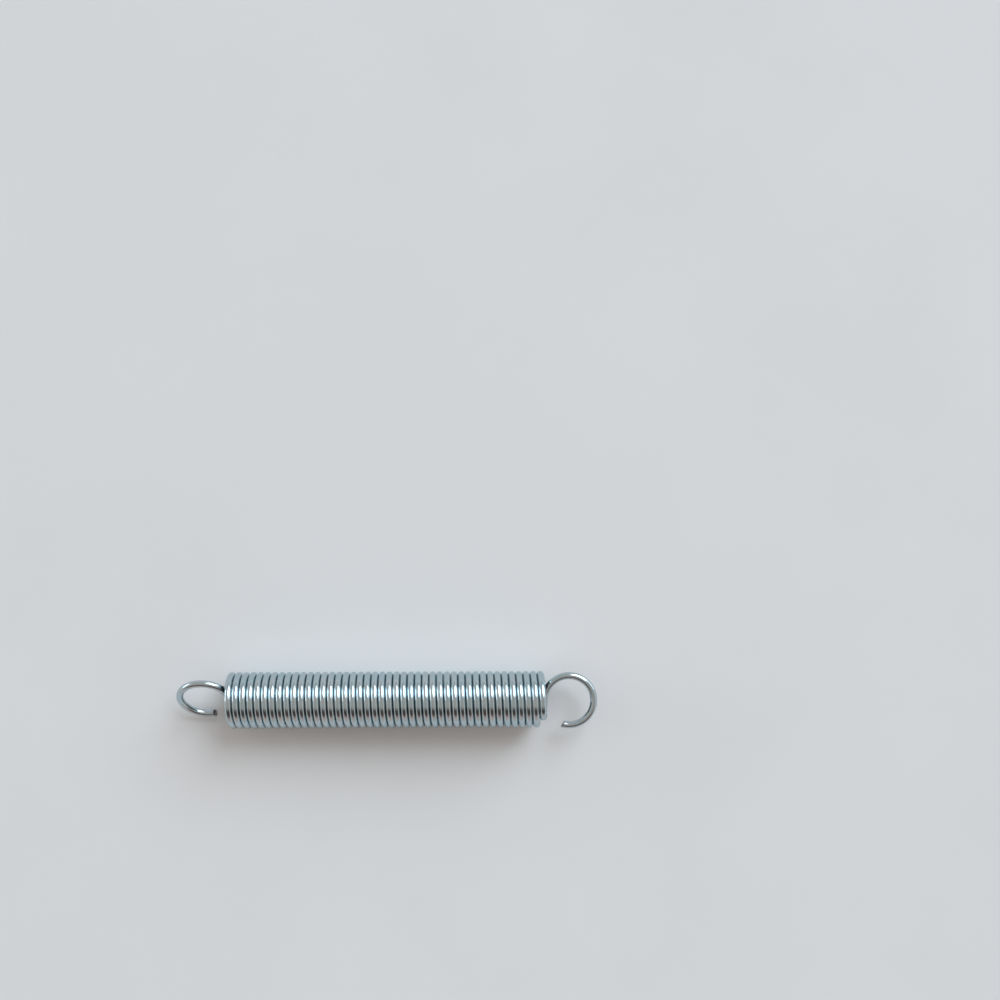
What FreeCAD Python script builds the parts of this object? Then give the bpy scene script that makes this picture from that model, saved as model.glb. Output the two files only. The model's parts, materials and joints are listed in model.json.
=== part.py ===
import FreeCAD, Part
import math
import os

from collections import namedtuple
from FreeCAD import Base, Vector

# A close-wound tension spring: one steel wire, coiled to the right, with a full loop over the centre
# at each end. It lies along X on the plane Z = 0, with the middle of its body over the origin.

# Driving dimensions, in millimetres and degrees.
wire_diameter = 1.4
coil_outer_diameter = 11.2
# Turns of the coiled body, from where the left loop leaves its rim to where the right one does.
turns = 43.454
# The turns lie side by side, with a hair of daylight between them.
turn_gap = 0.0339
loop_outer_diameter = 11.3
# The way left open between the cut end of a loop and the end turn of the body.
loop_mouth = 3.3
# The left loop's wire leaves the rim of the coil at this angle, counted from +Y towards +Z.
left_leaving_angle = -58.2
# Each end swings in from the rim through a half turn less this angle, then runs straight to its loop.
swing_shortfall = 12.5
# How far a loop's plane stays off the spring's axis, on the side where its wire leaves the rim.
left_loop_offset = 0.6
right_loop_offset = 0.1
# The wire is sheared off a little aslant, so that its outer side is the longer one.
end_cut_slant = 13.0
# The body is swept in stretches of about this many turns, one face each.
turns_to_a_face = 5

# Sizes that follow from them.
wire_radius = wire_diameter / 2
coil_radius = (coil_outer_diameter - wire_diameter) / 2
loop_radius = (loop_outer_diameter - wire_diameter) / 2
axis_height = coil_outer_diameter / 2
pitch = wire_diameter + turn_gap
winding_length = pitch * turns
lead_angle = math.atan(pitch / (2 * math.pi * coil_radius))
swing_angle = 180 - swing_shortfall

# A loop's plane stands square to the rim at its loop angle.
End = namedtuple("End", "side leaving_angle loop_angle loop_offset")
right_leaving_angle = left_leaving_angle + 360 * turns
left_loop_angle = left_leaving_angle + swing_shortfall
right_loop_angle = right_leaving_angle - swing_shortfall
LEFT = End(-1, left_leaving_angle, left_loop_angle, left_loop_offset)
RIGHT = End(1, right_leaving_angle, right_loop_angle, right_loop_offset)

ALONG = Vector(1, 0, 0)
MIDDLE = Vector(0, 0, axis_height)
# Turns a cylinder's own axis to X and the start of its angle to +Y.
LAID_ALONG_X = FreeCAD.Rotation(Vector(0, 1, 0), Vector(0, 0, 1), ALONG)


def outward(angle):
    """Unit vector from the spring's axis towards the rim at an angle."""
    return Vector(0, math.cos(math.radians(angle)), math.sin(math.radians(angle)))


def around(angle):
    """Unit vector along the rim at an angle, the way the angle grows."""
    return Vector(0, -math.sin(math.radians(angle)), math.cos(math.radians(angle)))


def winding(centre, radius, start_angle, end_angle, start_x):
    """Stretch of the wire's centre line that winds about a line along X at the coil's lead angle."""
    cylinder = Part.Cylinder()
    cylinder.Radius = radius
    cylinder.transform(FreeCAD.Placement(centre, LAID_ALONG_X).toMatrix())
    start, end = math.radians(start_angle), math.radians(end_angle)
    advance = radius * math.tan(lead_angle) * (end - start)
    line = Part.Geom2d.Line2dSegment(
        Base.Vector2d(start, start_x),
        Base.Vector2d(end, start_x + advance),
    )
    return line.toShape(cylinder)


def swing_radius(end):
    """Radius on which the wire swings in from the rim to the plane of its loop."""
    share = math.cos(math.radians(swing_shortfall))
    return (coil_radius * share - end.loop_offset) / (1 + share)


def swing_advance(end):
    """Length along X that the wire gains on that swing."""
    return swing_radius(end) * math.tan(lead_angle) * math.radians(swing_angle)


def swing(end):
    """Centre line of that swing, from left to right."""
    radius = swing_radius(end)
    centre = MIDDLE + outward(end.leaving_angle) * (coil_radius - radius)
    if end is LEFT:
        start_x = -winding_length / 2 - swing_advance(end)
        return winding(centre, radius, end.leaving_angle - swing_angle, end.leaving_angle, start_x)
    end_angle = end.leaving_angle + swing_angle
    return winding(centre, radius, end.leaving_angle, end_angle, winding_length / 2)


def straight_run(end):
    """Length that the wire runs straight, from the swing to where its loop starts."""
    off_middle = (coil_radius - swing_radius(end)) * math.sin(math.radians(swing_shortfall))
    return off_middle / math.cos(lead_angle)


def end_advance(end):
    """Length along X from where the wire leaves the rim to where its loop starts."""
    return swing_advance(end) + straight_run(end) * math.sin(lead_angle)


def coil():
    """Centre lines of the body's turns, in equal spans, from left to right."""
    spans = math.ceil(turns / turns_to_a_face)
    span_angle = 360 * turns / spans
    span_advance = winding_length / spans
    return [
        winding(
            MIDDLE,
            coil_radius,
            left_leaving_angle + i * span_angle,
            left_leaving_angle + (i + 1) * span_angle,
            -winding_length / 2 + i * span_advance,
        )
        for i in range(spans)
    ]


def loop_start(end):
    """Point where a loop starts over the coil's centre, its heading and the way to its own centre."""
    along_x = end.side * (winding_length / 2 + end_advance(end))
    point = MIDDLE + outward(end.loop_angle) * end.loop_offset + ALONG * along_x
    across = around(end.loop_angle)
    heading = (ALONG * math.sin(lead_angle) - across * math.cos(lead_angle)) * end.side
    inward = (ALONG * math.cos(lead_angle) + across * math.sin(lead_angle)) * end.side
    return point, heading, inward


def loop_sweep(end):
    """Angle that a loop runs through from its start to its cut end, in degrees."""
    reach = wire_radius + loop_mouth - end_advance(end)
    still_open = math.acos(math.cos(lead_angle) - reach / loop_radius) + lead_angle
    return 360 - math.degrees(still_open)


def wire_section(centre, heading, seam):
    """Round section of the wire, with the start of its circle at a given point."""
    circle = Part.Circle(centre, heading, wire_radius)
    circle.XAxis = seam - centre
    return Part.Wire(circle.toShape())


def make_loop(end, seam):
    """End loop: the wire's section run straight, carried round most of a circle, then sheared off."""
    point, heading, inward = loop_start(end)
    run = heading * straight_run(end)
    centre = point + inward * loop_radius
    loop_axis = heading.cross(inward)
    sweep = loop_sweep(end)
    spare = math.degrees(wire_diameter / loop_radius)
    section = Part.Face(wire_section(point - run, heading, seam))
    loop = section.translated(run).revolve(centre, loop_axis, sweep + spare)

    block = 2 * wire_diameter
    shear = Part.makeBox(block, block, block, Vector(-block / 2, -block / 2, 0))
    square_on = FreeCAD.Rotation(loop_axis, inward, heading, "ZXY")
    aslant = FreeCAD.Rotation(loop_axis, end_cut_slant)
    shear.Placement = FreeCAD.Placement(point, aslant * square_on)
    shear.rotate(centre, loop_axis, sweep)
    return section.extrude(run).fuse(loop.cut(shear))


def make_spring():
    """The whole wire as one solid: the swept body with a loop joined on at each end."""
    path = Part.Wire([swing(LEFT), *coil(), swing(RIGHT)])
    point, heading, inward = loop_start(LEFT)
    path_start = point - heading * straight_run(LEFT)
    sweep = Part.BRepOffsetAPI.MakePipeShell(path)
    sweep.setFrenetMode(True)
    sweep.add(wire_section(path_start, heading, path_start + inward * wire_radius))
    sweep.build()
    left_loop = make_loop(LEFT, sweep.firstShape().Vertexes[0].Point)
    right_loop = make_loop(RIGHT, sweep.lastShape().Vertexes[0].Point)
    sweep.makeSolid()
    return sweep.shape().fuse([left_loop, right_loop]).Solids[0]


spring = make_spring()
os.makedirs("parts", exist_ok=True)
spring.exportStep("parts/tension_spring.step")
print(f"body {winding_length + wire_diameter:.2f} mm long over {turns} turns, pitch {pitch:.4f} mm")
print(f"right loop leaves the rim at {RIGHT.leaving_angle % 360:.1f} degrees")
print(f"loops run through {loop_sweep(LEFT):.1f} and {loop_sweep(RIGHT):.1f} degrees")
print(f"one solid of {spring.Volume:.1f} cubic millimetres, valid: {spring.isValid()}")
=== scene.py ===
# %% [markdown]
# # A zinc-plated tension spring
#
# The object is one length of round steel wire. It is wound into a close coil, then swung in at each
# end to the middle of the coil and bent into a loop, so that the spring can be hooked between two
# anchors. Its looks come from bright zinc plating on a wire that curves two ways at once: every turn
# carries its own thin highlights, and the turns mirror each other.
#
# The imported model is loaded first. It is the fixed frame: its box gives the coil's diameter and where
# the floor is.

# %% Load the frame
import json
import math
import random

import bmesh
import bpy
from mathutils import Matrix, Vector


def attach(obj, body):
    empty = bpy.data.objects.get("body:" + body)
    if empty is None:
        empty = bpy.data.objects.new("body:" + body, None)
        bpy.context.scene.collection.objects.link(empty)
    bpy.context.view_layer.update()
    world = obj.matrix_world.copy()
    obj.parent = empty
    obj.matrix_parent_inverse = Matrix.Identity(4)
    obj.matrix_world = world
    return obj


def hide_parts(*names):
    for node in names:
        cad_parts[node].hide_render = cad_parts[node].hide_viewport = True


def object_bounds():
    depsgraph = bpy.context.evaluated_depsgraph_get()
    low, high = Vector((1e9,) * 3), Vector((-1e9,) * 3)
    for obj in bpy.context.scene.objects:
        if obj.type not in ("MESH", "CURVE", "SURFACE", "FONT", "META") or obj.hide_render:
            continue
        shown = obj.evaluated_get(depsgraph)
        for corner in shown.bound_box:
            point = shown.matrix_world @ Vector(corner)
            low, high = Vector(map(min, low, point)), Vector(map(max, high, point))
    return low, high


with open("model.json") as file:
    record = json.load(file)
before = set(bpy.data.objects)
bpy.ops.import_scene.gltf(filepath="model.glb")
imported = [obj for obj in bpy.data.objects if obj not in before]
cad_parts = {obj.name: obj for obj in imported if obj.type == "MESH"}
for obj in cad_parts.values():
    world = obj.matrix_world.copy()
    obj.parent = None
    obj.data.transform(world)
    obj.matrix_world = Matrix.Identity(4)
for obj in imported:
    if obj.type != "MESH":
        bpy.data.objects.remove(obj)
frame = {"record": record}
cad_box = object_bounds()
scene = bpy.context.scene
MM = 0.001


def in_mm(box):
    """Corners of a box, in millimetres, for printing."""
    return [[round(v / MM, 2) for v in corner] for corner in box]


print("CAD box in mm:", in_mm(cad_box))

# %% [markdown]
# ## The wire's own sizes
#
# A coil is settled by few sizes: the wire, the coil's outer diameter, the number of turns and the
# hair of daylight between them. The lead angle, at which the wire climbs along the coil, follows from
# those. The coil's diameter is read from the frame, as the model's height, because the coil is what
# the spring lies on.

# %% Sizes
floor_z = cad_box[0].z
coil_outer_diameter = cad_box[1].z - floor_z
wire_diameter = 1.4 * MM
loop_outer_diameter = 11.3 * MM
loop_mouth = 3.3 * MM
turns = 43.454
turn_gap = 0.0339 * MM

wire_radius = wire_diameter / 2
coil_radius = coil_outer_diameter / 2 - wire_radius
loop_radius = loop_outer_diameter / 2 - wire_radius
pitch = wire_diameter + turn_gap
winding_length = pitch * turns
lead_angle = math.atan(pitch / (2 * math.pi * coil_radius))

ALONG = Vector((1, 0, 0))
middle = Vector((0, 0, floor_z + coil_radius + wire_radius))
print(f"coil radius {coil_radius / MM:.3f} mm, lead angle {math.degrees(lead_angle):.2f} degrees")

# %% [markdown]
# ## Where the ends leave the coil
#
# At each end the wire leaves the rim, swings in on not quite a half turn of a smaller circle, and
# runs straight for a little, to where its loop starts over the middle of the coil. Angles on the rim
# are counted from +Y towards +Z. Each end is worked out once, as the places and directions that its
# bends turn about, so that the modelling below only has to read them off. The frame's record says
# where the loops' centres are, which is a good test of the sums.

# %% The two ends
SWING_SHORTFALL = math.radians(12.5)
SWING_ANGLE = math.pi - SWING_SHORTFALL
LEFT_LEAVING_ANGLE = math.radians(-58.2)
RIGHT_LEAVING_ANGLE = LEFT_LEAVING_ANGLE + 2 * math.pi * turns
LEFT_LOOP_OFFSET = 0.6 * MM
RIGHT_LOOP_OFFSET = 0.1 * MM


def outward(angle):
    """From the coil's axis to the rim at an angle."""
    return Vector((0, math.cos(angle), math.sin(angle)))


def around(angle):
    """Along the rim at an angle, the way the angle grows."""
    return Vector((0, -math.sin(angle), math.cos(angle)))


class WireEnd:
    """One end of the spring: side is -1 for the left and 1 for the right."""

    def __init__(self, side, leaving_angle, loop_offset):
        self.side = side
        climb = math.sin(lead_angle)
        level = math.cos(lead_angle)

        share = math.cos(SWING_SHORTFALL)
        self.swing_radius = (coil_radius * share - loop_offset) / (1 + share)
        inset = coil_radius - self.swing_radius
        self.swing_centre = middle + outward(leaving_angle) * inset
        self.swing_advance = self.swing_radius * SWING_ANGLE * math.tan(lead_angle)
        self.straight_run = inset * math.sin(SWING_SHORTFALL) / level
        end_advance = self.swing_advance + self.straight_run * climb

        loop_angle = leaving_angle - side * SWING_SHORTFALL
        across = around(loop_angle)
        along_x = side * (winding_length / 2 + end_advance)
        self.rim = outward(loop_angle)
        self.start = middle + self.rim * loop_offset + ALONG * along_x
        self.heading = (ALONG * climb - across * level) * side
        self.inward = (ALONG * level + across * climb) * side
        self.loop_axis = self.heading.cross(self.inward)
        self.loop_centre = self.start + self.inward * loop_radius
        reach = wire_radius + loop_mouth - end_advance
        self.loop_sweep = 2 * math.pi - math.acos(level - reach / loop_radius) - lead_angle

    def section_axes(self):
        """Axes of the wire's section where the loop starts, the third along the wire from left to right."""
        return -self.rim, self.inward * -self.side, self.heading * self.side


left_end = WireEnd(-1, LEFT_LEAVING_ANGLE, LEFT_LOOP_OFFSET)
right_end = WireEnd(1, RIGHT_LEAVING_ANGLE, RIGHT_LOOP_OFFSET)
for end, name in ((left_end, "left_loop"), (right_end, "right_loop")):
    mount = next(m for m in frame["record"]["mounts"] if m["name"] == name)
    off = (end.loop_centre - Vector(mount["pos_m"])).length
    print(f"{name}: {math.degrees(end.loop_sweep):.1f} degrees of loop, {off / MM:.4f} mm from its mount")

# %% [markdown]
# ## Spinning the wire
#
# A wire could be a curve with a round bevel, or a circle with a Screw modifier. A curve would have to
# be fed with points along the helix, and one Screw can't make the bends at the ends. Spin does it
# all: it carries a ring of edges round an axis in equal steps, and moves it along by the same amount
# at each step, which is just what a winding machine does to the wire.
#
# Spin goes through the whole mesh at every step, so a long wire in one mesh gets slow. The bending is
# therefore done one stretch at a time, in a small mesh that starts from a lone ring. When a stretch
# is bent it is added to the wire, and its last ring is where the next stretch starts.
#
# Each point also keeps where it lay on the wire before it was wound, as an attribute. Spinning copies
# it from ring to ring, so only the length along the wire is set anew. The finishes further down run
# along the wire by that.

# %% The bending bench
SECTION_SIDES = 24
STEPS_PER_TURN = 60
STRAIGHT = "straight_wire"


class Bench:
    """Bends a wire stretch by stretch, from one ring of its section."""

    def __init__(self, place):
        self.wire = bmesh.new()
        self.length = 0.0
        self.stretch = bpy.data.meshes.new("stretch")
        self.ring = bpy.data.meshes.new("ring")
        section = bmesh.new()
        layer = section.verts.layers.float_vector.new(STRAIGHT)
        bmesh.ops.create_circle(section, cap_ends=False, radius=wire_radius, segments=SECTION_SIDES)
        for vert in section.verts:
            vert[layer] = vert.co
        bmesh.ops.transform(section, matrix=place, verts=section.verts)
        section.to_mesh(self.ring)
        section.free()

    def bend(self, centre, axis, radius, angle, advance=0.0):
        """Carries the ring round an axis and along it, and adds that stretch to the wire."""
        steps = max(1, round(abs(angle) / (2 * math.pi) * STEPS_PER_TURN))
        step_length = math.hypot(radius * angle, advance) / steps
        bm = bmesh.new()
        bm.from_mesh(self.ring)
        layer = bm.verts.layers.float_vector[STRAIGHT]
        spun = bmesh.ops.spin(
            bm,
            geom=bm.verts[:] + bm.edges[:],
            cent=centre,
            axis=axis,
            dvec=axis * advance / steps,
            angle=angle,
            steps=steps,
        )
        for i, vert in enumerate(bm.verts):
            vert[layer].z = self.length + step_length * (i // SECTION_SIDES)
        self.length += step_length * steps
        bm.to_mesh(self.stretch)
        self.wire.from_mesh(self.stretch)

        last = set(spun["geom_last"])
        bmesh.ops.delete(bm, geom=[v for v in bm.verts if v not in last], context="VERTS")
        bm.to_mesh(self.ring)
        bm.free()


print(f"a ring of {SECTION_SIDES} points, spun in {STEPS_PER_TURN} steps a turn")

# %% [markdown]
# ## From one free end to the other
#
# The ring starts at the free end of the left loop. It is turned round the loop's own axis, then swung
# out to the rim, wound into the coil turn by turn, swung in again and turned into the right loop. The
# short straight runs between swing and loop are spins too, by no angle, so that only the move along
# the axis is left. Wire never winds with perfect regularity, so each turn's advance is off by a
# little, seeded so that every run gives the same spring, and together the errors add up to nothing.
# Merging by distance then welds each stretch to the next.

# %% Bend the wire
ADVANCE_ERROR = 0.003 * MM
WELD_DISTANCE = turn_gap / 20
CHANCE_SEED = 43


def loop_turn(end):
    """Turns the start of a loop to its free end."""
    return (
        Matrix.Translation(end.loop_centre)
        @ Matrix.Rotation(end.loop_sweep, 4, end.loop_axis)
        @ Matrix.Translation(-end.loop_centre)
    )


def section_place(end):
    """Placement of the wire's section at the free end of a loop."""
    at_start = Matrix(end.section_axes()).transposed().to_4x4()
    at_start.translation = end.start
    return loop_turn(end) @ at_start


def run_straight(end):
    """Carries the ring on between the swing and the loop of an end, from left to right."""
    bench.bend(end.start, end.heading * end.side, 0.0, 0.0, end.straight_run)


bench = Bench(section_place(left_end))
bench.bend(left_end.loop_centre, left_end.loop_axis, loop_radius, -left_end.loop_sweep)
run_straight(left_end)
bench.bend(left_end.swing_centre, ALONG, left_end.swing_radius, SWING_ANGLE, left_end.swing_advance)
coil_starts = bench.length

shares = [1.0] * int(turns) + [turns - int(turns)]
chance = random.Random(CHANCE_SEED)
errors = [chance.uniform(-ADVANCE_ERROR, ADVANCE_ERROR) for _ in shares]
mean_error = sum(errors) / len(errors)
for share, error in zip(shares, errors):
    bench.bend(middle, ALONG, coil_radius, 2 * math.pi * share, pitch * share + error - mean_error)
coil_ends = bench.length

bench.bend(right_end.swing_centre, ALONG, right_end.swing_radius, SWING_ANGLE, right_end.swing_advance)
run_straight(right_end)
bench.bend(right_end.loop_centre, right_end.loop_axis, loop_radius, right_end.loop_sweep)

wire = bench.wire
wire_length = bench.length
straight = wire.verts.layers.float_vector[STRAIGHT]
bmesh.ops.remove_doubles(wire, verts=wire.verts, dist=WELD_DISTANCE)
for face in wire.faces:
    face.smooth = True
print(f"{wire_length / MM:.1f} mm of wire in {len(wire.faces)} faces, {len(wire.verts)} points")

# %% [markdown]
# ## The sheared ends
#
# The wire is cut off with a shear that leaves its end a little aslant, the outer side of the loop
# being the longer one. A shear matrix does the same to the last ring of points. Then the end is
# filled, and its rim is bevelled: the blade rolls that edge over, and a rounded edge also gives the
# light something to catch on. The new points get their place on the straight wire from the same
# placement that put the section there.

# %% Cut ends
CUT_SLANT = math.radians(13)
RIM_BEVEL = 0.07 * MM
STEEL = 1


def close_end(end, length):
    """Shears, fills and bevels one free end of the wire."""
    ring = [e for e in wire.edges if e.is_boundary and abs(e.verts[0][straight].z - length) < wire_radius]
    verts = list({v for e in ring for v in e.verts})
    place = section_place(end)
    slant = Matrix.Identity(4)
    slant[2][1] = math.tan(CUT_SLANT)
    bmesh.ops.transform(wire, matrix=place @ slant @ place.inverted(), verts=verts)
    bmesh.ops.edgeloop_fill(wire, edges=ring, mat_nr=STEEL)
    rounded = bmesh.ops.bevel(
        wire,
        geom=ring,
        offset=RIM_BEVEL,
        affect="EDGES",
        segments=3,
        profile=0.5,
        material=-1,
    )
    for vert in rounded["verts"]:
        vert[straight] = place.inverted() @ vert.co + Vector((0, 0, length))
    for face in rounded["faces"]:
        face.material_index = STEEL


for end, length in ((left_end, 0.0), (right_end, wire_length)):
    close_end(end, length)
bmesh.ops.recalc_face_normals(wire, faces=wire.faces)
cut_sides = max(len(f.verts) for f in wire.faces)
print(f"cut faces of {cut_sides} sides, {wire.calc_volume() / MM**3:.1f} cubic mm of wire")

# %% [markdown]
# ## A flat map of the wire
#
# A texture map of a spring is best laid out as the wire was before winding: a long thin strip, cut
# into rows that lie under each other like lines of text. That wastes little of the square, and the
# strip is scaled but not bent. Where a face crosses the line at which the strip is slit open, its far
# corners go once round further, so a row keeps one margin below it and two above. The two cut ends
# get a row of their own.

# %% Lay the wire out in rows
ROWS = 16
ROW_SPARE = 1.01
ROW_START, ROW_SPAN = 0.003, 0.99
ROW_MARGIN = 0.08
CUT_PLACES = (0.25, 0.75)
CUT_SIZE = 0.4
row_length = wire_length / ROWS * ROW_SPARE
uv_map = wire.loops.layers.uv.new("OFBake")


def strip_place(face):
    """Places of a face's corners on the strip, in rows and shares of a row."""
    points = [v[straight] for v in face.verts]
    row = max(0, int(min(p.z for p in points) / row_length))
    shares = [math.atan2(p.y, p.x) / (2 * math.pi) % 1 for p in points]
    if max(shares) - min(shares) > 0.5:
        shares = [s + 1 if s < 0.5 else s for s in shares]
    row_height = 1 - 3 * ROW_MARGIN
    return [
        (ROW_START + ROW_SPAN * (p.z / row_length - row), row + ROW_MARGIN + row_height * s)
        for p, s in zip(points, shares)
    ]


def cut_place(face):
    """Places of a cut end's corners in the last row."""
    at_left = face.verts[0][straight].z < row_length
    place = CUT_PLACES[0] if at_left else CUT_PLACES[1]
    points = [v[straight] / wire_radius for v in face.verts]
    return [(place + CUT_SIZE * p.x / ROWS, ROWS + 0.5 + CUT_SIZE * p.y) for p in points]


for face in wire.faces:
    places = cut_place(face) if face.material_index == STEEL else strip_place(face)
    for loop, (u, v) in zip(face.loops, places):
        loop[uv_map].uv = u, v / (ROWS + 1)
print("strip of", ROWS, "rows, each", round(row_length / MM, 1), "mm long")

# %% [markdown]
# ## The piece
#
# The mesh becomes one object. It rides on the frame's only body and takes the place of its plain
# solid.

# %% The spring as an object
mesh = bpy.data.meshes.new("spring_wire")
wire.to_mesh(mesh)
wire.free()
for scrap in (bench.stretch, bench.ring):
    bpy.data.meshes.remove(scrap)
spring = bpy.data.objects.new("spring_wire", mesh)
scene.collection.objects.link(spring)
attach(spring, "root")
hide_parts("tension_spring")
mesh.calc_loop_triangles()
print("triangles:", len(mesh.loop_triangles))

# %% [markdown]
# ## Building shaders by script
#
# Each node is added with its settings and its inputs in one call, where an input is either a plain
# value or the socket that feeds it. The Mix node has a set of sockets for each kind of value under
# the same names, so those for colours are picked by number.

# %% Shader helpers
FLOAT, VECTOR = "NodeSocketFloat", "NodeSocketVector"
FACTOR, COLOUR_A, COLOUR_B, COLOUR_OUT = 0, 6, 7, 2


def add_node(tree, kind, inputs=None, **settings):
    """Adds a node, sets its properties and fills its inputs with values or links."""
    node = tree.nodes.new("ShaderNode" + kind)
    for name, value in settings.items():
        setattr(node, name, value)
    for name, value in (inputs or {}).items():
        if isinstance(value, bpy.types.NodeSocket):
            tree.links.new(value, node.inputs[name])
        else:
            node.inputs[name].default_value = value
    return node


def maths(tree, operation, *values):
    """Result of one Math node."""
    return add_node(tree, "Math", dict(enumerate(values)), operation=operation).outputs[0]


def between(tree, value, low, high, to_low=0.0, to_high=1.0):
    """Brings a value from one range to another, with soft ends."""
    inputs = {"Value": value, "From Min": low, "From Max": high, "To Min": to_low, "To Max": to_high}
    return add_node(tree, "MapRange", inputs, interpolation_type="SMOOTHSTEP").outputs[0]


def mix_colour(tree, factor, first, second):
    """Mixes two colours by a factor."""
    inputs = {FACTOR: factor, COLOUR_A: first, COLOUR_B: second}
    return add_node(tree, "Mix", inputs, data_type="RGBA").outputs[COLOUR_OUT]


print("colours of a Mix node go in at sockets", COLOUR_A, "and", COLOUR_B)

# %% [markdown]
# ## Two effects that the finishes share
#
# Drawing the wire through its die leaves fine lines along it, and the shear leaves lines across its
# cut. Both are noise that is squeezed hard in two directions and drawn out in the third, so one node
# group makes them. The second group makes cloudy patches with a soft threshold: plating bloom,
# specks, torn metal and the table's wear are all patches that only differ in size and sharpness.

# %% Shared node groups


def new_group(name, inputs, output):
    """Starts a node group and gives its tree, the sockets it is given and the one that takes its result."""
    tree = bpy.data.node_groups.new(name, "ShaderNodeTree")
    for label, kind in inputs.items():
        tree.interface.new_socket(label, in_out="INPUT", socket_type=kind)
    tree.interface.new_socket(output, in_out="OUTPUT", socket_type=FLOAT)
    given = tree.nodes.new("NodeGroupInput").outputs
    result = tree.nodes.new("NodeGroupOutput").inputs[output]
    return tree, given, result


def make_grain_lines():
    """Lines along Z: so many to the metre across them, changing so often to the metre along them."""
    inputs = {"Vector": VECTOR, "Across": FLOAT, "Along": FLOAT}
    tree, given, result = new_group("grain_lines", inputs, "Lines")
    counts = {"X": given["Across"], "Y": given["Across"], "Z": given["Along"]}
    counts = add_node(tree, "CombineXYZ", counts).outputs[0]
    squeezed = add_node(tree, "VectorMath", {0: given["Vector"], 1: counts}, operation="MULTIPLY")
    noise = {"Vector": squeezed.outputs[0], "Scale": 1.0, "Detail": 4.0, "Roughness": 0.6}
    tree.links.new(add_node(tree, "TexNoise", noise).outputs["Fac"], result)
    return tree


def make_patches():
    """Cloudy patches, so many to the metre, that set in between a low and a high threshold."""
    inputs = {"Vector": VECTOR, "Count": FLOAT, "Low": FLOAT, "High": FLOAT}
    tree, given, result = new_group("patches", inputs, "Patches")
    noise = {"Vector": given["Vector"], "Scale": given["Count"], "Detail": 3.0, "Roughness": 0.55}
    clouds = add_node(tree, "TexNoise", noise).outputs["Fac"]
    tree.links.new(between(tree, clouds, given["Low"], given["High"]), result)
    return tree


def shared(tree, group, **inputs):
    """Puts a shared group into a material and gives its result."""
    filled = {name.title(): value for name, value in inputs.items()}
    return add_node(tree, "Group", filled, node_tree=group).outputs[0]


grain_lines = make_grain_lines()
patches = make_patches()
print("node groups:", [g.name for g in bpy.data.node_groups])

# %% [markdown]
# ## Bright zinc
#
# Zinc plating is a metal under a clear passivation, so it is bluish, a little cloudy, and less bright
# than chrome. The clouds are patches in the object's own space, as plating knows nothing of the
# wire's direction. The drawn lines, which show through the thin plating, run along the straight wire:
# they roughen it and give it a slight bump. In the bore of the close coil and on the flanks where the
# turns nearly touch, the zinc is painted dark as painted shade, and made rougher. In the section of
# the straight wire the bore lies towards -X and the flanks towards Y, so those places are read from it
# too, and the painted shade fades out over half a turn where the wire leaves the coil.

# %% Zinc material
BLUISH_ZINC = (0.490, 0.602, 0.645, 1)
CLOUDED_ZINC = (0.550, 0.620, 0.646, 1)
# Painted shade: the dark colour laid on the bore of the coil and on the flanks between its turns.
PAINTED_SHADE_ZINC = (0.20, 0.21, 0.22, 1)
DULL_SPECK = (0.40, 0.42, 0.43, 1)
EDGE_TINT = (0.80, 0.84, 0.86, 1)
SPECK_DEPTH = 0.5
SPECK_RELIEF = 0.6
# How strongly the flanks between the turns and the bore are darkened, as painted shade.
FLANK_SHADE_DEPTH = 0.15
BORE_SHADE_DEPTH = 0.8
FAINT_LINES, STRONG_LINES = 0.3, 0.7
SMOOTH, ROUGH = 0.08, 0.14
BLOOM_DULLS, SPECKS_DULL, SHADE_DULLS = 0.03, 0.15, 0.50
flank_from = 0.94 * wire_radius
bore_from, bore_full = -0.1 * wire_radius, -0.8 * wire_radius
half_turn = math.pi * coil_radius


def new_material(name):
    """Adds a material and gives it with its node tree and its shader."""
    material = bpy.data.materials.new(name)
    material.use_nodes = True
    return material, material.node_tree, material.node_tree.nodes["Principled BSDF"]


def painted_coil_shade(tree, section):
    """Painted shade in the bore of the coil and between its turns, read from a place on the straight wire.
    """
    flank = maths(tree, "ABSOLUTE", section["Y"])
    flank = between(tree, flank, flank_from, wire_radius, 0.0, FLANK_SHADE_DEPTH)
    bore = between(tree, section["X"], bore_full, bore_from, BORE_SHADE_DEPTH, 0.0)
    wound_on = between(tree, section["Z"], coil_starts, coil_starts + half_turn)
    not_left = between(tree, section["Z"], coil_ends - half_turn, coil_ends, 1.0, 0.0)
    painted_shade = maths(tree, "MAXIMUM", flank, bore)
    for coiled in (wound_on, not_left):
        painted_shade = maths(tree, "MULTIPLY", painted_shade, coiled)
    return painted_shade


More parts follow.
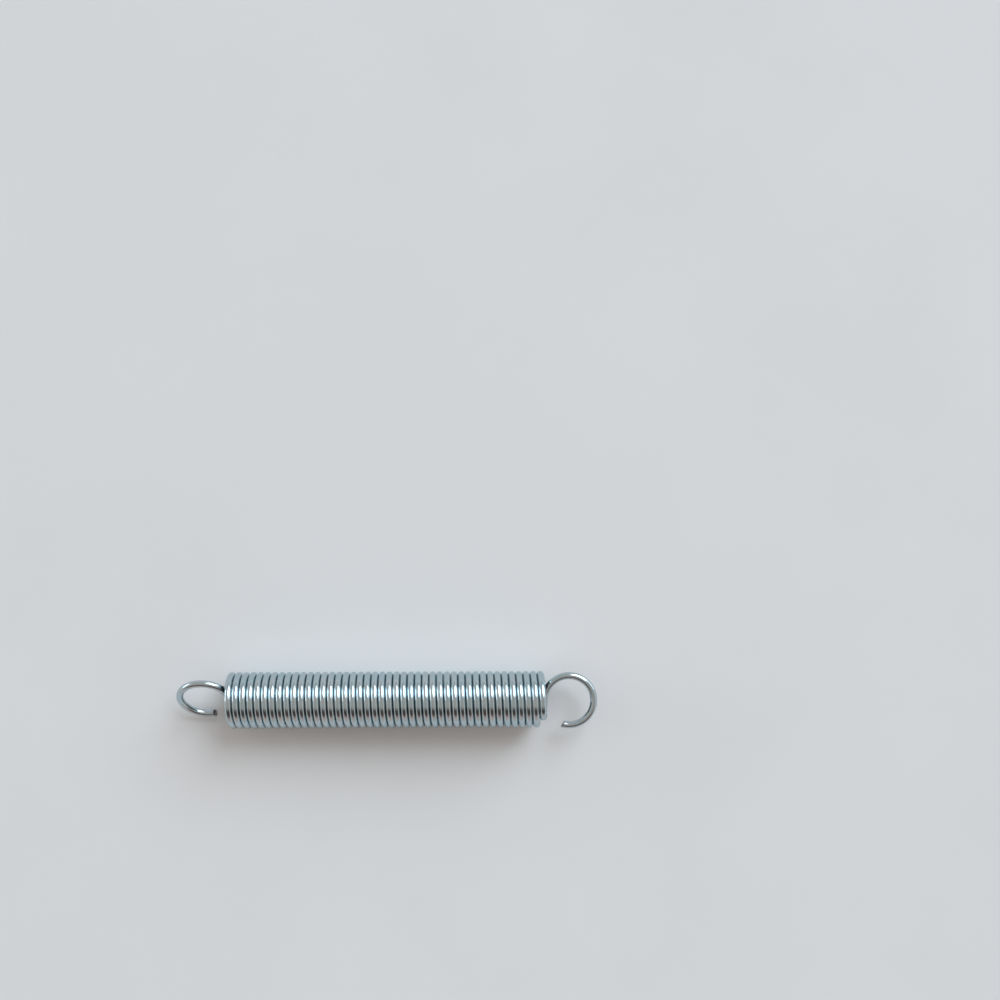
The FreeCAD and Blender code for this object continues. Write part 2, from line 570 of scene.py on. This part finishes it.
def make_zinc():
    """Bright zinc plating on drawn wire."""
    material, tree, shader = new_material("bright_zinc")
    place = add_node(tree, "Attribute", attribute_name=STRAIGHT).outputs["Vector"]
    section = add_node(tree, "SeparateXYZ", {"Vector": place}).outputs
    own_space = add_node(tree, "TexCoord").outputs["Object"]

    lines = shared(tree, grain_lines, vector=place, across=9000.0, along=40.0)
    bloom = shared(tree, patches, vector=own_space, count=420.0, low=0.35, high=0.68)
    specks = shared(tree, patches, vector=own_space, count=5200.0, low=0.62, high=0.74)
    painted_shade = painted_coil_shade(tree, section)

    colour = mix_colour(tree, bloom, BLUISH_ZINC, CLOUDED_ZINC)
    colour = mix_colour(tree, maths(tree, "MULTIPLY", specks, SPECK_DEPTH), colour, DULL_SPECK)
    # Painted shade: the bore and the flanks between the turns are darkened.
    colour = mix_colour(tree, painted_shade, colour, PAINTED_SHADE_ZINC)
    tree.links.new(colour, shader.inputs["Base Color"])

    roughness = between(tree, lines, FAINT_LINES, STRONG_LINES, SMOOTH, ROUGH)
    for effect, added in ((bloom, BLOOM_DULLS), (specks, SPECKS_DULL), (painted_shade, SHADE_DULLS)):
        roughness = maths(tree, "ADD", roughness, maths(tree, "MULTIPLY", effect, added))
    tree.links.new(roughness, shader.inputs["Roughness"])

    relief = maths(tree, "SUBTRACT", lines, maths(tree, "MULTIPLY", specks, SPECK_RELIEF))
    bump = add_node(tree, "Bump", {"Height": relief, "Strength": 0.2, "Distance": 0.004 * MM})
    tree.links.new(bump.outputs["Normal"], shader.inputs["Normal"])
    shader.inputs["Metallic"].default_value = 1.0
    shader.inputs["Specular Tint"].default_value = EDGE_TINT
    return material


zinc = make_zinc()
mesh.materials.append(zinc)
print(zinc.name, "has", len(zinc.node_tree.nodes), "nodes")

# %% [markdown]
# ## Sheared steel
#
# The cut was made after plating, so it shows the bare steel. A shear slices cleanly through the first
# part of the wire, which is left with fine lines, and the rest tears off and stays grey and rough.
# The lines run from the outer to the inner side of the loop, which is the section's second axis, so
# the place on the straight wire is turned before it goes into the group that makes lines.

# %% Steel material
SLICED_STEEL = (0.40, 0.39, 0.385, 1)
TORN_STEEL = (0.17, 0.165, 0.16, 1)
SLICED_ROUGHNESS, TORN_ROUGHNESS = 0.30, 0.62
LEAST_TORN = 0.35
LINE_RELIEF = 0.4
tear_starts, tear_full = -0.25 * wire_radius, 0.25 * wire_radius


def make_steel():
    """Bare steel of the cut ends."""
    material, tree, shader = new_material("sheared_steel")
    place = add_node(tree, "Attribute", attribute_name=STRAIGHT).outputs["Vector"]
    section = add_node(tree, "SeparateXYZ", {"Vector": place}).outputs
    turned = add_node(tree, "CombineXYZ", {"X": section["Z"], "Y": section["X"], "Z": section["Y"]})

    lines = shared(tree, grain_lines, vector=turned.outputs[0], across=16000.0, along=700.0)
    tears = shared(tree, patches, vector=place, count=6000.0, low=0.35, high=0.65)
    torn_side = between(tree, section["Y"], tear_starts, tear_full)
    torn = maths(tree, "MULTIPLY", torn_side, maths(tree, "ADD", tears, LEAST_TORN))

    tree.links.new(mix_colour(tree, torn, SLICED_STEEL, TORN_STEEL), shader.inputs["Base Color"])
    roughness = between(tree, torn, 0.0, 1.0, SLICED_ROUGHNESS, TORN_ROUGHNESS)
    tree.links.new(roughness, shader.inputs["Roughness"])
    relief = maths(tree, "ADD", maths(tree, "MULTIPLY", lines, LINE_RELIEF), torn)
    bump = add_node(tree, "Bump", {"Height": relief, "Strength": 0.6, "Distance": 0.02 * MM})
    tree.links.new(bump.outputs["Normal"], shader.inputs["Normal"])
    shader.inputs["Metallic"].default_value = 1.0
    return material


steel = make_steel()
mesh.materials.append(steel)
print(steel.name, "has", len(steel.node_tree.nodes), "nodes")

# %% [markdown]
# ## The table
#
# The spring lies on a pale, matt table top. It is large, so that the metal mirrors pale table all the
# way to the horizon, and a touch uneven in colour and gloss, as any table in use is. It is kept
# nearly free of gloss, because a soft box that shines low over a glossy table leaves a white glare on
# it in the views from the side.

# %% Table
TABLE_REACH = 2.0
TABLE_PALE = (0.785, 0.785, 0.780, 1)
TABLE_WORN = (0.767, 0.767, 0.762, 1)
TABLE_GLOSS = 0.15
PALE_ROUGHNESS, WORN_ROUGHNESS = 0.84, 0.92


def make_table_finish():
    """Pale laminate with faint wear."""
    material, tree, shader = new_material("pale_table")
    own_space = add_node(tree, "TexCoord").outputs["Object"]
    wear = shared(tree, patches, vector=own_space, count=22.0, low=0.30, high=0.75)
    tree.links.new(mix_colour(tree, wear, TABLE_PALE, TABLE_WORN), shader.inputs["Base Color"])
    roughness = between(tree, wear, 0.0, 1.0, PALE_ROUGHNESS, WORN_ROUGHNESS)
    tree.links.new(roughness, shader.inputs["Roughness"])
    shader.inputs["Specular IOR Level"].default_value = TABLE_GLOSS
    return material


table_bm = bmesh.new()
bmesh.ops.create_grid(table_bm, x_segments=1, y_segments=1, size=TABLE_REACH)
bmesh.ops.translate(table_bm, verts=table_bm.verts, vec=(0, 0, floor_z))
table_mesh = bpy.data.meshes.new("table_top")
table_bm.to_mesh(table_mesh)
table_bm.free()
table_mesh.materials.append(make_table_finish())
table_top = bpy.data.objects.new("table_top", table_mesh)
scene.collection.objects.link(table_top)
print("table top of", 2 * TABLE_REACH, "m")

# %% [markdown]
# ## The room that the metal mirrors
#
# Bright metal shows little of itself and much of the room. Going over the spring from front to back,
# it mirrors a warm wall, a dark stretch above it, a grey ceiling, and a pale wall behind. That is a
# gradient over one angle: how far a direction leans from straight up, in the plane across the spring.
# The walls to the left and right are pale and fill in the shadows. Near the table all walls have much
# the same brightness, so that they make a calm background when the spring is looked at from the side.

# %% World
# Lean in degrees, towards the back, and the colour of the room there.
ROOM = [
    (-82, (0.57, 0.505, 0.475)),
    (-71, (0.57, 0.43, 0.39)),
    (-57, (0.10, 0.075, 0.07)),
    (-37, (0.08, 0.065, 0.06)),
    (-22, (0.46, 0.42, 0.39)),
    (20, (0.50, 0.47, 0.45)),
    (75, (0.54, 0.55, 0.555)),
    (100, (0.60, 0.62, 0.64)),
]
SIDE_WALLS = (0.69, 0.66, 0.635, 1)
SIDES_FROM, SIDES_FULL = 0.55, 0.9


def make_room():
    """World of soft walls, by the lean of a direction from straight up."""
    world = bpy.data.worlds.new("room")
    world.use_nodes = True
    tree = world.node_tree
    way = add_node(tree, "TexCoord").outputs["Generated"]
    parts = add_node(tree, "SeparateXYZ", {"Vector": way}).outputs
    lean = maths(tree, "ARCTAN2", parts["Y"], parts["Z"])
    share = maths(tree, "MULTIPLY_ADD", lean, 0.5 / math.pi, 0.5)
    ramp = add_node(tree, "ValToRGB", {"Fac": share})
    stops = ramp.color_ramp.elements
    while len(stops) < len(ROOM):
        stops.new(1.0)
    for stop, (degrees, colour) in zip(stops, ROOM):
        stop.position = degrees / 360 + 0.5
        stop.color = *colour, 1
    aside = between(tree, maths(tree, "ABSOLUTE", parts["X"]), SIDES_FROM, SIDES_FULL)
    room = mix_colour(tree, aside, ramp.outputs["Color"], SIDE_WALLS)
    tree.links.new(room, tree.nodes["Background"].inputs["Color"])
    return world


scene.world = make_room()
print("room with", len(ROOM), "stops")

# %% [markdown]
# ## Soft boxes
#
# The white streak on every turn is one large soft light, behind the spring, to the right of it and
# well up. The thinner streaks at the turns' flanks and along the outside of the loops are two low
# ones, one at each side. Each is given by the heading and the height that it shines from, in degrees,
# the angles that it fills and its brightness. The size and the power of an area light follow from
# those: power is brightness times area times pi. The boxes give cool daylight and the room is warm,
# so the table looks bluish in the light and brownish in the spring's shadow. They stand far off, so
# that they light the table evenly, and they are hidden from the camera, so that the background stays
# plain.

# %% Soft boxes
LIGHT_DISTANCE = 6.0
DAYLIGHT = (0.77, 0.89, 1.0)


def add_soft_box(name, heading, height, wide, tall, brightness):
    """Adds an area light that faces the spring."""
    heading, height = math.radians(heading), math.radians(height)
    level = math.cos(height)
    way = Vector((level * math.cos(heading), level * math.sin(heading), math.sin(height)))
    light = bpy.data.lights.new(name, "AREA")
    light.color = DAYLIGHT
    light.shape = "RECTANGLE"
    light.size = 2 * LIGHT_DISTANCE * math.tan(math.radians(wide) / 2)
    light.size_y = 2 * LIGHT_DISTANCE * math.tan(math.radians(tall) / 2)
    light.energy = brightness * math.pi * light.size * light.size_y
    lamp = bpy.data.objects.new(name, light)
    lamp.location = middle + way * LIGHT_DISTANCE
    lamp.rotation_euler = way.to_track_quat("Z", "Y").to_euler()
    lamp.visible_camera = False
    scene.collection.objects.link(lamp)
    print(f"{name}: {light.size:.2f} m by {light.size_y:.2f} m, {light.energy:.1f} W")


add_soft_box("main_box", heading=55, height=36, wide=33, tall=39, brightness=5.8)
add_soft_box("left_box", heading=165, height=13, wide=32, tall=16, brightness=2.8)
add_soft_box("right_box", heading=30, height=12, wide=38, tall=16, brightness=2.2)

# %% [markdown]
# ## Camera
#
# The camera looks straight down from about a hand's span above the table, well to one side of the
# spring, so that the spring lies low and left in the picture and its back is seen a little more than
# its front.

# %% Camera
CAMERA_LENS = 41.15
CAMERA_PLACE = Vector((22.85, 39.82, 234.0)) * MM
CAMERA_TURN = math.radians(-0.25)

lens = bpy.data.cameras.new("photo_camera")
lens.lens = CAMERA_LENS
lens.clip_start = 0.01
camera = bpy.data.objects.new("photo_camera", lens)
camera.location = CAMERA_PLACE + Vector((0, 0, floor_z))
camera.rotation_euler.z = CAMERA_TURN
scene.collection.objects.link(camera)
scene.camera = camera
scene.view_settings.view_transform = "Standard"
print("camera", round(camera.location.z / MM), "mm over the table")
